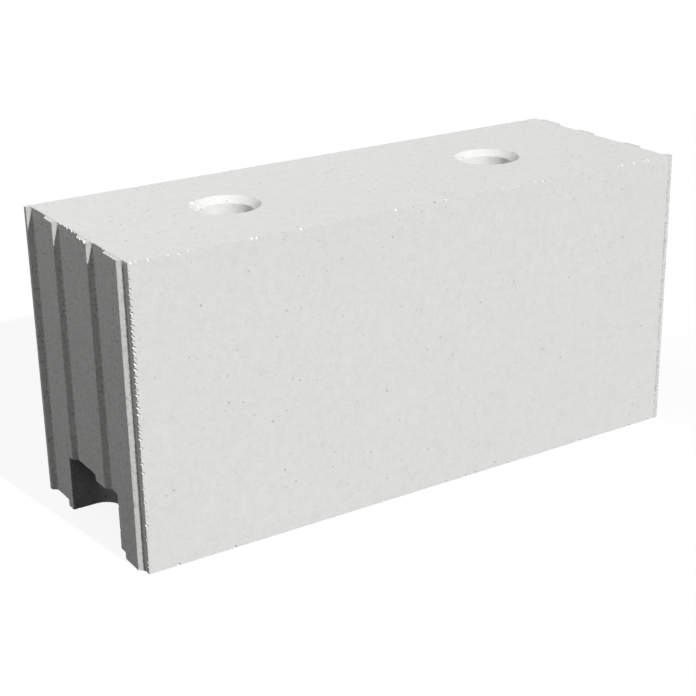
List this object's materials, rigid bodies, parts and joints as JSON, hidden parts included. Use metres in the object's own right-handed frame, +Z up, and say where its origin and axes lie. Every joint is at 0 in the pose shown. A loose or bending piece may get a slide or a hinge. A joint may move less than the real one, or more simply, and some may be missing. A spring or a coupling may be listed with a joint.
{
  "type": "perforated calcium silicate block",
  "caption": "Pressed calcium silicate wall block with tongue-and-groove ends, round lifting holes through its bed faces and a grip pocket at the foot of each end.",
  "frame": {"origin": "middle of the underside (lower bed face)", "axes": "+X along the block's length, -Y towards the front face, +Z up through the lifting holes"},
  "size_m": [0.502, 0.175, 0.238],
  "materials": {
    "calcium_silicate": "matt, fine-grained, as pressed"
  },
  "bodies": {
    "root": {"block": "calcium_silicate"}
  },
  "joints": []
}
